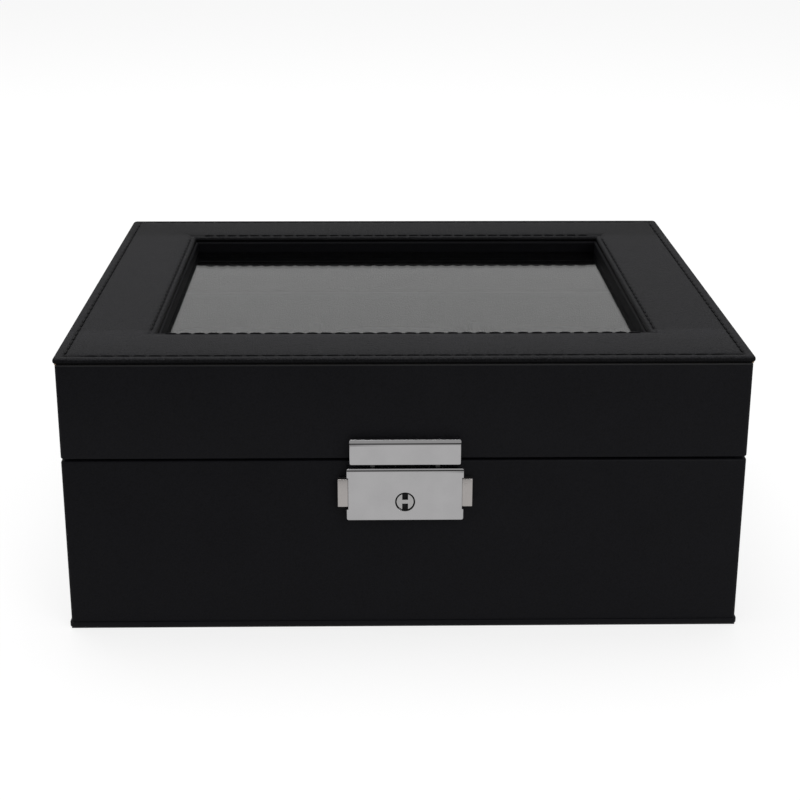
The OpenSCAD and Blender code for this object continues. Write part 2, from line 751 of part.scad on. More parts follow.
module top_panel_leather() color(leather_top) difference() {
    round_slab(panel, panel_base, box_h);
    slab(panel_window, panel_base - eps, box_h + eps);
    top_layer(panel_base - eps, box_h - panel_leather_t);
    frame([panel.x + eps, panel.y + eps], [outer.x - corner_r, outer.y - corner_r],
          panel_base - eps, panel_base + panel_shadow);
}

module stitch_row(half) {
    frame([half.x + thread_w / 2, half.y + thread_w / 2],
          [half.x - thread_w / 2, half.y - thread_w / 2], box_h, box_h + thread_h);
}

module outer_stitching() color("black")
    stitch_row([panel.x - outer_stitch_in, panel.y - outer_stitch_in]);

module inner_stitching() color("black")
    stitch_row([panel_window.x + inner_stitch_in, panel_window.y + inner_stitch_in]);

module glass_pane() color("lightblue", 0.4)
    slab([window.x + glass_lap, window.y + glass_lap], glass_top - glass_t, glass_top);

module glass_retainer() color(velvet) difference() {
    frame(lid_inside, board_window, retainer_bottom, glass_top);
    slab([window.x + glass_lap + glass_play, window.y + glass_lap + glass_play],
         glass_top - glass_t, glass_top + eps);
}

module lid_lining() color(velvet)
    frame(lid_inside, cell_room, lid_lining_bottom, retainer_bottom);

module hasp_plate() color(chrome) difference() {
    union() {
        difference() {
            bevelled_plate(hasp_w, hasp_t, hasp_bottom, hasp_bottom + hasp_h, lock_bevel);
            span([hasp_wall - hasp_w / 2, hook_front - lock_play, hasp_bottom + hasp_wall],
                 [hasp_w / 2 - hasp_wall, front + eps, hasp_bottom + hasp_h - hasp_wall]);
            for (side = [-1, 1]) span(
                [side * hook_x - hook_w / 2 - screw_clear, hook_front - lock_play, hasp_bottom - eps],
                [side * hook_x + hook_w / 2 + screw_clear, front + eps, hasp_bottom + hasp_wall + eps]);
        }
        for (at = hasp_screws_at) rod_y(at.x, at.y, boss_r, hook_front - lock_play - eps, front);
    }
    for (at = hasp_screws_at)
        rod_y(at.x, at.y, lock_screw_r + screw_clear, hook_front, front + eps);
}

module hasp_hooks() color(steel) difference() {
    union() {
        span([-bar_half, hook_front, hasp_bottom + hasp_wall + lock_play],
             [bar_half, hook_front + hook_t, hasp_bottom + hasp_h - hasp_wall - lock_play]);
        for (side = [-1, 1]) mirror([side > 0 ? 0 : 1, 0, 0]) {
            span([hook_x - hook_w / 2, hook_front, hook_low],
                 [hook_x + hook_w / 2, hook_front + hook_t, hasp_bottom + hasp_wall + hook_root]);
            span([hook_x - hook_w / 2 - barb, hook_front, hook_low],
                 [hook_x, hook_front + hook_t, hook_low + barb_h]);
        }
    }
    for (at = hasp_screws_at)
        rod_y(at.x, at.y, boss_r + screw_clear, hook_front - eps, hook_front + hook_t + eps);
}

module hasp_screws() color(steel)
    for (at = hasp_screws_at) lock_screw(at, hook_front + lock_play, -lid_inside.y);

// ---------- cushions ----------

// The outline of a cushion seen from its side: a rounded square between two powers
function pillow_outline(share) = [for (k = [0:pillow_points - 1])
    let (a = 360 * k / pillow_points)
    [
        pillow_d / 2 * share * sign(cos(a)) * pow(abs(cos(a)), 2 / pillow_power),
        pillow_h / 2 * share * sign(sin(a)) * pow(abs(sin(a)), 2 / pillow_power)
    ]];

// One thin slice of a cushion across X
module pillow_slice(x, share) {
    translate([x, 0, 0]) rotate([90, 0, 90]) linear_extrude(eps) polygon(pillow_outline(share));
}

// The cushion in a column (-1, 0, 1) and a row (-1 is the front one)
module pillow(column, row) {
    half = pillow_w / 2;
    translate([column * column_x, row * row_y, pillow_z]) hull() {
        pillow_slice(-half, pillow_face);
        pillow_slice(pillow_shoulder_w - half, pillow_shoulder);
        pillow_slice(-half / 2, 1);
        pillow_slice(half / 2 - eps, 1);
        pillow_slice(half - pillow_shoulder_w - eps, pillow_shoulder);
        pillow_slice(half - eps, pillow_face);
    }
}

module pillow_front_left() color(velvet) pillow(-1, -1);

module pillow_front_middle() color(velvet) pillow(0, -1);

module pillow_front_right() color(velvet) pillow(1, -1);

module pillow_rear_left() color(velvet) pillow(-1, 1);

module pillow_rear_middle() color(velvet) pillow(0, 1);

module pillow_rear_right() color(velvet) pillow(1, 1);

base_front_wall();
base_rear_wall();
base_left_wall();
base_right_wall();
base_floor();
bottom_panel();
bottom_felt();
base_wrap();
base_lining_front();
base_lining_rear();
base_lining_left();
base_lining_right();
floor_pad();
long_divider();
cross_divider_left();
cross_divider_right();
lock_housing();
lock_back_plate();
lock_screws();
left_latch_spring();
right_latch_spring();
left_hinge_base_leaf();
right_hinge_base_leaf();
hinge_pins();
base_hinge_screws();
left_button();
right_button();
key_plug();
locking_cam();
plug_clip();
lid_front_wall();
lid_rear_wall();
lid_left_wall();
lid_right_wall();
lid_window_board();
lid_wrap();
window_edge_wrap();
top_panel_board();
top_panel_foam();
top_panel_leather();
outer_stitching();
inner_stitching();
glass_pane();
glass_retainer();
lid_lining();
hasp_plate();
hasp_hooks();
hasp_screws();
left_hinge_lid_leaf();
right_hinge_lid_leaf();
lid_hinge_screws();
pillow_front_left();
pillow_front_middle();
pillow_front_right();
pillow_rear_left();
pillow_rear_middle();
pillow_rear_right();
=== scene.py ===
# A watch box: wrapped board case with a glass lid, two butt hinges, a push-button lock and
# six watch cushions. Every piece is built in the order in which the box is put together, in
# metres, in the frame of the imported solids: Z up, the front of the box faces -Y.
import math
import random

import bmesh
import bpy
from mathutils import Matrix, Vector


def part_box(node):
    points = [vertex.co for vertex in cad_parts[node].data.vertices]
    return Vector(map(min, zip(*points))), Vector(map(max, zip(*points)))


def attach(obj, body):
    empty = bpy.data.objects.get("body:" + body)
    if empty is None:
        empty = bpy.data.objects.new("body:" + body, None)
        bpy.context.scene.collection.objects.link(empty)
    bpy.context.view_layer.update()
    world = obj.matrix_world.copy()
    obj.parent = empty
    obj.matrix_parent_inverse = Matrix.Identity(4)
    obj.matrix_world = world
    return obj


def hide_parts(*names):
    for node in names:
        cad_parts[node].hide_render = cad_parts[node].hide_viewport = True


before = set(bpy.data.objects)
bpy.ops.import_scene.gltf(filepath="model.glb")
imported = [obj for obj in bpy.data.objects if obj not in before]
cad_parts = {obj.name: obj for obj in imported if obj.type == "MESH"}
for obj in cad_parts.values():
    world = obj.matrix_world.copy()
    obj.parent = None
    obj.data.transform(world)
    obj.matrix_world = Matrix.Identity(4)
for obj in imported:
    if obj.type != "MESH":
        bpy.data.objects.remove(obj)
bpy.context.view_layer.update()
mm = 0.001

# ---------- camera ----------
# It stands in front of the box, a little to the left and above it, and looks down at the lid.
frame_px = 800
focal_px = 1647.5
sensor_mm = 36
camera_yaw = math.radians(-1.15)
camera_pitch = math.radians(18.98)
camera_roll = math.radians(0.17)
camera_place = (-0.0105, -0.5351, 0.2261)
camera_data = bpy.data.cameras.new("camera")
camera_data.sensor_width = sensor_mm
camera_data.lens = focal_px / frame_px * sensor_mm
camera = bpy.data.objects.new("camera", camera_data)
bpy.context.scene.collection.objects.link(camera)
camera.matrix_world = (
    Matrix.Translation(camera_place)
    @ Matrix.Rotation(camera_yaw, 4, "Z")
    @ Matrix.Rotation(math.pi / 2 - camera_pitch, 4, "X")
    @ Matrix.Rotation(camera_roll, 4, "Z")
)
bpy.context.scene.camera = camera
bpy.context.scene.view_settings.view_transform = "Standard"


# ---------- studio ----------
# A pale floor, a plain bright room and two wide soft lamps. The nodes of every finish are
# written with the two classes below: a Term is a socket on which Python's operators work.
class Term:
    """An output socket. Each operator on it adds the Math node of that name."""

    def __init__(self, paint, socket):
        self.paint = paint
        self.socket = socket

    def math(self, operation, first, second=0.0):
        return self.paint.node("ShaderNodeMath", {"operation": operation}, {0: first, 1: second})

    def __add__(self, other):
        return self.math("ADD", self, other)

    def __sub__(self, other):
        return self.math("SUBTRACT", self, other)

    def __rsub__(self, other):
        return self.math("SUBTRACT", other, self)

    def __mul__(self, other):
        return self.math("MULTIPLY", self, other)

    def __gt__(self, other):
        return self.math("GREATER_THAN", self, other)

    def __abs__(self):
        return self.math("ABSOLUTE", self)

    def larger(self, other):
        return self.math("MAXIMUM", self, other)

    __radd__ = __add__
    __rmul__ = __mul__


class Paint:
    """The nodes of one material, or of the world."""

    def __init__(self, owner):
        owner.use_nodes = True
        self.owner = owner
        self.tree = owner.node_tree
        self.tree.nodes.clear()

    def node(self, kind, settings=(), inputs=(), output=0):
        """Adds a node: its settings first, then its sockets' values or links."""
        made = self.tree.nodes.new(kind)
        for name, value in dict(settings).items():
            setattr(made, name, value)
        for name, value in dict(inputs).items():
            if isinstance(value, Term):
                self.tree.links.new(value.socket, made.inputs[name])
            else:
                made.inputs[name].default_value = value
        return Term(self, made.outputs[output]) if made.outputs else None

    def part(self, place, axis):
        """One coordinate of a place or of a direction."""
        return self.node("ShaderNodeSeparateXYZ", {}, {0: place}, output=axis)

    def between(self, factor, low, high):
        """A colour that runs from low, which may be a Term, to high with the factor."""
        start = low if isinstance(low, Term) else (*low, 1)
        inputs = {0: factor, 6: start, 7: (*high, 1)}
        return self.node("ShaderNodeMix", {"data_type": "RGBA"}, inputs, output=2)

    def limited(self, value, low, high):
        """The value taken from low to high into 0 to 1, and held there."""
        return self.node(
            "ShaderNodeMapRange", {}, {"Value": value, "From Min": low, "From Max": high}
        )

    def noise(self, place, size, detail=2.0):
        """Noise whose blotches are about size metres across."""
        return self.node("ShaderNodeTexNoise", {}, {"Vector": place, "Scale": 1 / size, "Detail": detail})

    def surface(self, sockets, height=None, relief=0.0):
        """Ends the material in one Principled shader, with a height in units of relief metres."""
        inputs = dict(sockets)
        if height is not None:
            inputs["Normal"] = self.node(
                "ShaderNodeBump", {}, {"Height": height, "Distance": relief, "Strength": 1.0}
            )
        shader = self.node("ShaderNodeBsdfPrincipled", {}, inputs)
        self.node("ShaderNodeOutputMaterial", {}, {"Surface": shader})
        return self.owner


room_light = 0.62
room_seen_in_gloss = 0.44
room_horizon = 0.01
room_low_wall = 0.30
room_front = (-0.1, -0.5)
low_wall_band = (0.38, 0.52)
high_wall_band = (0.70, 0.95)
world = bpy.data.worlds.new("room")
bpy.context.scene.world = world
room = Paint(world)
ray_is_camera = room.node("ShaderNodeLightPath", output="Is Camera Ray")
ray_is_glossy = room.node("ShaderNodeLightPath", output="Is Glossy Ray")
direction = room.node("ShaderNodeTexCoord", output="Generated")
across = room.part(direction, "Y")
upward = room.part(direction, "Z")
# In front of the box the room is black at the horizon and dim above it. The chrome shows that
# as a thin dark line with a grey band over it.
in_front = room.limited(across, *room_front)
front_level = (
    room_horizon
    + (room_low_wall - room_horizon) * room.limited(upward, *low_wall_band)
    + (room_seen_in_gloss - room_low_wall) * room.limited(upward, *high_wall_band)
)
gloss_level = front_level * in_front + room_seen_in_gloss * (1 - in_front)
level = gloss_level * ray_is_glossy + room_light * (1 - ray_is_glossy)
level = ray_is_camera + level * (1 - ray_is_camera)
background = room.node("ShaderNodeBackground", {}, {"Color": (1, 1, 1, 1), "Strength": level})
room.node("ShaderNodeOutputWorld", {}, {"Surface": background})

floor_size = 8.0
floor_white = 0.76
floor_pale = 0.72
floor_shade = 0.26
floor_seen_in_gloss = 0.47
floor_fade = (-0.40, -0.85)
far_floor_level = 0.48
lamp_target = Vector((0, 0, 0.05))
bpy.ops.object.select_all(action="DESELECT")
bpy.ops.mesh.primitive_plane_add(size=floor_size, location=(0, 0, 0))
floor = bpy.context.object
floor.name = "floor"
tabletop = Paint(bpy.data.materials.new("pale_floor"))
seen = tabletop.node("ShaderNodeLightPath", output="Is Camera Ray")
mirrored = tabletop.node("ShaderNodeLightPath", output="Is Glossy Ray")
shaded = tabletop.node(
    "ShaderNodeBsdfDiffuse", {}, {"Color": tabletop.between(seen, (floor_pale,) * 3, (floor_shade,) * 3)}
)
glow = tabletop.node("ShaderNodeEmission", {}, {"Color": (1, 1, 1, 1), "Strength": seen * floor_white})
pale = tabletop.node("ShaderNodeAddShader", {}, {0: shaded, 1: glow})
floor_place = tabletop.node("ShaderNodeTexCoord", output="Object")
floor_across = tabletop.part(floor_place, "Y")
far_floor = tabletop.limited(floor_across, *floor_fade)
floor_colour = tabletop.between(far_floor, (1,) * 3, (far_floor_level,) * 3)
even = tabletop.node("ShaderNodeEmission", {}, {"Color": floor_colour, "Strength": floor_seen_in_gloss})
laid = tabletop.node("ShaderNodeMixShader", {}, {0: mirrored, 1: pale, 2: even})
tabletop.node("ShaderNodeOutputMaterial", {}, {"Surface": laid})
floor.data.materials.append(tabletop.owner)

for lamp_name, lamp_place, lamp_size, lamp_power in [
    ("ceiling_lamp", (-0.12, 0.35, 1.20), 0.9, 8.5),
    ("front_lamp", (0.75, -1.15, 0.75), 0.7, 4.0),
]:
    lamp_data = bpy.data.lights.new(lamp_name, "AREA")
    lamp_data.shape = "SQUARE"
    lamp_data.size = lamp_size
    lamp_data.energy = lamp_power
    lamp = bpy.data.objects.new(lamp_name, lamp_data)
    bpy.context.scene.collection.objects.link(lamp)
    lamp.location = lamp_place
    lamp.rotation_mode = "QUATERNION"
    lamp.rotation_quaternion = (lamp_target - lamp.location).to_track_quat("-Z", "Y")


# ---------- bottom felt ----------
# A sheet of black felt glued under the case, 0.5 mm back from the bottom panel's edge, so that
# the box doesn't scratch a table. The solid is the sheet itself; its nap is in the finish.
def felt_finish():
    felt = Paint(bpy.data.materials.new("black_felt"))
    place = felt.node("ShaderNodeTexCoord", output="Object")
    fibres = felt.noise(place, 0.0006, 6.0)
    patches = felt.noise(place, 0.012)
    colour = felt.between(patches * 0.5 + fibres * 0.5, (0.008, 0.008, 0.009), (0.030, 0.030, 0.032))
    return felt.surface(
        {"Base Color": colour, "Roughness": 0.95, "Sheen Weight": 0.3, "Specular IOR Level": 0.2},
        fibres,
        0.0004,
    )


def refinish(node, material):
    """Gives a CAD solid that stays as it is its real finish."""
    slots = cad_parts[node].data.materials
    slots.clear()
    slots.append(material)


refinish("bottom_felt", felt_finish())


# ---------- bottom panel ----------
# A thin board wrapped in the same leatherette as the walls, glued under them. It stands 0.4 mm
# proud all round, and its wrapped edge is rounded.
def leather_finish(name, colour, grain_size, grain_depth, gloss, rough, contrast=0.25, painted_light=None):
    """Black embossed leatherette: fine pebbles, faint mottling, and a thin plastic gloss.

    A painted light is a function that gives a mask for the piece's place, and the colour painted there: a
    paler colour is a painted highlight, a darker one painted shade.
    """
    hide = Paint(bpy.data.materials.new(name))
    place = hide.node("ShaderNodeTexCoord", output="Object")
    pebble_shift = hide.noise(place, grain_size * 3, 1.0)
    shifted = hide.node(
        "ShaderNodeVectorMath",
        {"operation": "MULTIPLY_ADD"},
        {0: pebble_shift, 1: (grain_size,) * 3, 2: place},
    )
    pebbles = hide.node("ShaderNodeTexVoronoi", {}, {"Vector": shifted, "Scale": 1 / grain_size})
    pores = hide.noise(place, grain_size / 3, 3.0)
    mottle = hide.noise(place, 0.018, 3.0)
    height = (1 - pebbles) * 0.7 + pores * 0.3
    shade = hide.limited(mottle * 0.4 + (1 - pebbles) * 0.6, 0.25, 0.85)
    low = tuple((1 - contrast) * c for c in colour)
    high = tuple((1 + contrast) * c for c in colour)
    dye_and_painted_light = hide.between(shade, low, high)
    if painted_light:
        where, painted_colour = painted_light
        dye_and_painted_light = hide.between(where(hide, place), dye_and_painted_light, painted_colour)
    return hide.surface(
        {
            "Base Color": dye_and_painted_light,
            "Roughness": hide.limited(mottle, 0, 1) * 0.12 + (rough - 0.06),
            "Specular IOR Level": gloss,
        },
        height,
        grain_depth,
    )


wall_black = (0.0056, 0.0056, 0.0074)
wall_grain = {"grain_size": 0.00045, "grain_depth": 0.00004}
wall_leather = leather_finish("wall_leather", wall_black, **wall_grain, gloss=0.14, rough=0.50)


def take(piece):
    """Only this piece is selected, and active."""
    bpy.ops.object.select_all(action="DESELECT")
    piece.select_set(True)
    bpy.context.view_layer.objects.active = piece


def box_piece(name, low, high):
    """A block between two corners, to start a piece from."""
    bpy.ops.object.select_all(action="DESELECT")
    low, high = Vector(low), Vector(high)
    bpy.ops.mesh.primitive_cube_add(size=1, location=(low + high) / 2, scale=high - low)
    piece = bpy.context.object
    piece.name = name
    bpy.ops.object.transform_apply(location=True, rotation=True, scale=True)
    return piece


def open_mesh(piece, kind, wanted):
    """Opens the piece in edit mode, where only the faces or edges that are wanted are selected."""
    take(piece)
    bpy.ops.object.mode_set(mode="EDIT")
    bpy.ops.mesh.select_mode(type=kind)
    bpy.ops.mesh.select_all(action="DESELECT")
    mesh = bmesh.from_edit_mesh(piece.data)
    for element in mesh.faces if kind == "FACE" else mesh.edges:
        if wanted(element):
            element.select_set(True)
    bmesh.update_edit_mesh(piece.data)


def close_mesh():
    bpy.ops.object.mode_set(mode="OBJECT")


def middle(element):
    """The middle of an edge or face."""
    return sum((v.co for v in element.verts), Vector()) / len(element.verts)


touching = 1e-5


def upright(edge):
    a, b = (v.co for v in edge.verts)
    return abs(a.z - b.z) > 0.9 * (a - b).length


def level_edge_at(z):
    """A test for the edges that lie level at a height."""
    return lambda edge: all(abs(v.co.z - z) < touching for v in edge.verts)


def round_edges(piece, wanted, radius, steps):
    open_mesh(piece, "EDGE", wanted)
    bpy.ops.mesh.bevel(offset=radius, segments=steps, profile=0.5, affect="EDGES")
    close_mesh()


def apply_modifier(piece, kind, **settings):
    """Adds a modifier with these settings and applies it."""
    take(piece)
    modifier = piece.modifiers.new(kind.lower(), kind)
    for name, value in settings.items():
        setattr(modifier, name, value)
    bpy.ops.object.modifier_apply(modifier=modifier.name)


def dress(piece, material, slot, body, *nodes):
    """Finishes a piece: its material, the body it moves with and the solids it stands for."""
    take(piece)
    bpy.ops.object.shade_smooth_by_angle(angle=math.radians(40))
    piece.data.materials.clear()
    piece.data.materials.append(material)
    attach(piece, body)
    if nodes:
        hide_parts(*nodes)


case_corner = 1.3 * mm
foot_round = 0.25 * mm
foot_low, foot_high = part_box("bottom_panel")
foot = box_piece("wrapped_bottom_panel", foot_low, foot_high)
round_edges(foot, upright, case_corner, 4)
round_edges(foot, lambda edge: not upright(edge), foot_round, 3)
dress(foot, wall_leather, "leather_walls", "base", "bottom_panel")


# ---------- base boards ----------
# Four fibreboard walls, butted and glued, with the floor board between them. The leatherette and
# the velvet hide them, so their solids stay as they are, with the brown fibre of the board.
def board_finish(name, dark, light):
    fibre = Paint(bpy.data.materials.new(name))
    place = fibre.node("ShaderNodeTexCoord", output="Object")
    fibres = fibre.noise(place, 0.0008, 6.0)
    flecks = fibre.noise(place, 0.004, 3.0)
    colour = fibre.between(flecks * 0.4 + fibres * 0.6, dark, light)
    return fibre.surface({"Base Color": colour, "Roughness": 0.85}, fibres, 0.0003)


fibreboard = board_finish("fibreboard", (0.17, 0.10, 0.052), (0.38, 0.26, 0.15))
for board_node in ("base_front_wall", "base_rear_wall", "base_left_wall", "base_right_wall", "base_floor"):
    refinish(board_node, fibreboard)

# ---------- base leather ----------
# One sheet of leatherette glued round the four walls and turned over their top rim. Its corners
# and its rim are rounded over the boards, and it is cut out for the hinges.
wrap_low, wrap_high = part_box("base_wrap")
side_wall_low, side_wall_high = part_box("base_right_wall")
boards_high = Vector((side_wall_high.x, side_wall_high.y, 0))
board_top = side_wall_high.z
inside_high = Vector((side_wall_low.x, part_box("base_rear_wall")[0].y, 0))
rim_round = 0.6 * mm
inner_round = 0.3 * mm
pocket_play = 0.15 * mm
over = 5 * mm
leaf_reach = 7 * mm


def cut_boxes(piece, boxes):
    """Cuts blocks, each given by its low and high corner, out of a piece."""
    for low, high in boxes:
        cutter = box_piece("cutter", low, high)
        apply_modifier(piece, "BOOLEAN", operation="DIFFERENCE", object=cutter, solver="EXACT")
        bpy.data.objects.remove(cutter)


def block(half, z_low, z_high):
    """The corners of a block that lies evenly about the middle of the box."""
    return (-half.x, -half.y, z_low), (half.x, half.y, z_high)


def hinge_pockets(leaves, z_low, z_high):
    """The cuts in a rim that the hinge leaves are let into."""
    cuts = []
    for leaf in leaves:
        low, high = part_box(leaf)
        front = wrap_high.y - leaf_reach - pocket_play
        cuts.append(((low.x - pocket_play, front, z_low), (high.x + pocket_play, wrap_high.y + over, z_high)))
    return cuts


base_skin = box_piece("base_leather", wrap_low, wrap_high)
round_edges(base_skin, upright, case_corner, 4)
round_edges(base_skin, level_edge_at(wrap_high.z), rim_round, 3)
cut_boxes(
    base_skin,
    [
        block(boards_high, wrap_low.z - over, board_top),
        block(inside_high, board_top - over, wrap_high.z + over),
    ],
)
round_edges(
    base_skin,
    lambda edge: level_edge_at(wrap_high.z)(edge) and abs(middle(edge).x) < inside_high.x + 0.01 * mm
    and abs(middle(edge).y) < inside_high.y + 0.01 * mm,
    inner_round,
    2,
)
base_leaves = ("left_hinge_base_leaf", "right_hinge_base_leaf")
cut_boxes(base_skin, hinge_pockets(base_leaves, board_top, wrap_high.z + over))
dress(base_skin, wall_leather, "leather_walls", "base", "base_wrap")


# ---------- base lining ----------
# Four cards wrapped in black velvet, glued inside the walls. They stand 4 mm above the rim as a
# lip, over which the lid closes. Their wrapped edges are round.
def velvet_finish(name, dark, light, nap, sheen):
    """Short black pile: patches that lie one way or the other, and a soft bloom at the edges."""
    pile = Paint(bpy.data.materials.new(name))
    place = pile.node("ShaderNodeTexCoord", output="Object")
    brushed = pile.noise(place, 0.016, 3.0)
    hairs = pile.noise(place, nap, 4.0)
    lying = pile.limited(brushed * 0.6 + hairs * 0.4, 0.3, 0.7)
    return pile.surface(
        {
            "Base Color": pile.between(lying, dark, light),
            "Roughness": 0.9,
            "Specular IOR Level": 0.1,
            "Sheen Weight": sheen,
            "Sheen Roughness": 0.35,
            "Sheen Tint": (0.75, 0.75, 0.8, 1),
        },
        hairs,
        0.0003,
    )


lining_velvet = velvet_finish("lining_velvet", (0.004, 0.004, 0.005), (0.011, 0.011, 0.013), 0.0005, 0.12)


def solid_copy(node, name):
    """A new piece in the shape of a solid, with its loose triangles joined into faces."""
    piece = bpy.data.objects.new(name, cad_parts[node].data.copy())
    bpy.context.scene.collection.objects.link(piece)
    take(piece)
    bpy.ops.object.mode_set(mode="EDIT")
    bpy.ops.mesh.select_all(action="SELECT")
    bpy.ops.mesh.remove_doubles(threshold=0.001 * mm)
    bpy.ops.mesh.dissolve_limited(angle_limit=math.radians(0.5))
    close_mesh()
    return piece


def rounded_copy(node, name, radius, steps):
    """A new piece in the shape of a solid, with its sharp edges rounded."""
    piece = solid_copy(node, name)
    bpy.ops.object.shade_smooth_by_angle(angle=math.radians(30))
    apply_modifier(
        piece,
        "BEVEL",
        width=radius,
        segments=steps,
        limit_method="ANGLE",
        angle_limit=math.radians(40),
        harden_normals=True,
        use_clamp_overlap=True,
    )
    return piece


def dress_copy(node, name, radius, material, body, steps=2):
    """Rounds a copy of a solid and puts it in that solid's place."""
    piece = rounded_copy(node, name, radius, steps)
    piece.data.materials.clear()
    piece.data.materials.append(material)
    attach(piece, body)
    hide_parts(node)


for side in ("front", "rear", "left", "right"):
    dress_copy(f"base_lining_{side}", f"{side}_lining_card", 0.6 * mm, lining_velvet, "base", 3)

# ---------- floor pad and dividers ----------
# A velvet pad lies on the floor board. One long divider and two cross dividers are slotted into
# each other at half height and make the six cells.
dress_copy("floor_pad", "velvet_floor_pad", 0.5 * mm, lining_velvet, "base")
for divider in ("long_divider", "cross_divider_left", "cross_divider_right"):
    dress_copy(divider, f"velvet_{divider}", 1.2 * mm, lining_velvet, "base", 3)

# ---------- hinges ----------
# Two nickel plated butt hinges, let into the rims at the rear: base leaves, lid leaves, one pin
# through each hinge's three knuckles, and four countersunk screws to each hinge.
def nickel_finish(name, colour, rough, scratch):
    """Plated steel with a fine brushed grain and faint handling marks."""
    plate = Paint(bpy.data.materials.new(name))
    place = plate.node("ShaderNodeTexCoord", output="Object")
    stretched = plate.node("ShaderNodeMapping", {}, {"Vector": place, "Scale": (1, 1, 14)})
    grain = plate.noise(stretched, 0.002, 3.0)
    marks = plate.noise(place, 0.004, 3.0)
    low = tuple(0.86 * c for c in colour)
    return plate.surface(
        {
            "Base Color": plate.between(plate.limited(marks, 0.3, 0.7), low, colour),
            "Metallic": 1.0,
            "Roughness": plate.limited(marks, 0.2, 0.9) * 0.12 + rough,
        },
        grain,
        scratch,
    )


nickel = nickel_finish("nickel_plate", (0.62, 0.61, 0.59), 0.18, 0.00002)
zinc_steel = nickel_finish("zinc_plated_steel", (0.50, 0.50, 0.50), 0.26, 0.00003)
hinge_nodes = {
    "left_hinge_base_leaf": "base",
    "right_hinge_base_leaf": "base",
    "hinge_pins": "base",
    "left_hinge_lid_leaf": "lid",
    "right_hinge_lid_leaf": "lid",
}
for hinge_node, hinge_body in hinge_nodes.items():
    dress_copy(hinge_node, f"nickel_{hinge_node}", 0.15 * mm, nickel, hinge_body)
for screw_node in ("base_hinge_screws", "lid_hinge_screws"):
    refinish(screw_node, nickel)


# ---------- lock case ----------
# A die-cast case plated with chrome, hollow behind, with softly rounded edges, screwed to the
# front wall from inside. It has a step for each button, two hook slots and the key's bore.
def chrome_finish(name, colour, rough, smudge, shade_mask=None):
    """Bright chrome with the faint greasy marks of fingers, and shade painted dark and dull where a shade
    mask is given.
    """
    plating = Paint(bpy.data.materials.new(name))
    place = plating.node("ShaderNodeTexCoord", output="Object")
    greasy = plating.limited(plating.noise(place, 0.009, 3.0), 0.35, 0.75)
    specks = plating.limited(plating.noise(place, 0.0012, 2.0), 0.66, 0.80)
    ripple = plating.noise(place, 0.006, 1.0)
    low = tuple(0.92 * c for c in colour)
    tone = plating.between(greasy * 0.8 + specks * 0.2, colour, low)
    rough = greasy * smudge + specks * 0.1 + rough
    metal = 1.0
    # painted shade: where the mask is 1 the chrome is painted dark, dull and not metal
    if shade_mask:
        inside = shade_mask(plating, place)
        metal = 1 - inside
        rough = rough + inside * 0.6
        tone = plating.between(inside, tone, (0.006, 0.006, 0.007))
    return plating.surface({"Base Color": tone, "Metallic": metal, "Roughness": rough}, ripple, 0.00001)


def from_plug_axis(plating, place):
    """The distance from the axis of the key barrel."""
    apart = plating.node("ShaderNodeVectorMath", {"operation": "SUBTRACT"}, {0: place, 1: (0, 0, plug_z)})
    flat = plating.node("ShaderNodeVectorMath", {"operation": "MULTIPLY"}, {0: apart, 1: (1, 0, 1)})
    return plating.node("ShaderNodeVectorMath", {"operation": "LENGTH"}, {0: flat}, output="Value")


def painted_bore_shade(plating, place):
    """1 where shade is painted: on the walls of the key's bore and the inner part of its mouth."""
    return 1 - (from_plug_axis(plating, place) > bore_shade_r)


case_low, case_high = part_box("lock_housing")
plug_up = 5.8 * mm
plug_z = case_low.z + plug_up
bore_r = 2.8 * mm
bore_shade_r = 2.93 * mm
face_t = 1.0 * mm
bright = (0.80, 0.79, 0.80)
chrome = chrome_finish("bright_chrome", bright, rough=0.05, smudge=0.10)
# painted shade: the key's bore is painted dark in the case's chrome
case_chrome = chrome_finish("bright_chrome_with_painted_bore_shade", bright, rough=0.05, smudge=0.10, shade_mask=painted_bore_shade)


def soften(piece, width, steps):
    """Rounds every edge where the faces of a piece turn by more than 40 degrees."""
    apply_modifier(
        piece, "BEVEL", width=width, segments=steps, limit_method="ANGLE", angle_limit=math.radians(40)
    )


plate_round = 0.26 * mm


def plate_blank(name, low, high, corner, facet_high):
    """A thick plate with rounded corners, softened edges and a profile cut along its top.

    From the face upwards the profile leans back a little, folds over, runs up a steep facet
    that is facet_high tall, and rounds over into the top.
    """
    plate = box_piece(name, low, high)
    round_edges(plate, lambda e: abs(e.verts[0].co.y - e.verts[1].co.y) > mm, corner, 5)
    soften(plate, plate_round, 4)
    # each strip's lean in degrees, and its height in millimetres
    profile = [(8, 0.65), (12, 0.12), (17, 0.12), (22, 0.10), (27, 0.08), (30, facet_high / mm)]
    profile += [(45, 0.08), (65, 0.04), (80, 0.02)]
    depth, drop = 0.0, sum(tall for lean, tall in profile) * mm
    for lean, tall in profile:
        lean = math.radians(lean)
        open_mesh(plate, "FACE", lambda face: True)
        bpy.ops.mesh.bisect(
            plane_co=(0, low.y + depth, high.z - drop),
            plane_no=(0, -math.cos(lean), math.sin(lean)),
            use_fill=True,
            clear_outer=True,
            threshold=0.001 * mm,
        )
        bpy.ops.mesh.select_all(action="SELECT")
        bpy.ops.mesh.normals_make_consistent(inside=False)
        close_mesh()
        depth += tall * mm * math.tan(lean)
        drop -= tall * mm
    return plate


case = plate_blank("chrome_lock_case", case_low, case_high, 0.6 * mm, 0.16 * mm)
button_mid = 44.4 * mm
hollow_half = 15.95 * mm
case_floor_t = 0.9 * mm
past_case = 20 * mm
case_cuts = [
    (
        (-hollow_half, case_low.y + face_t, case_low.z + case_floor_t),
        (hollow_half, case_high.y + over, case_high.z - face_t),
    )
]
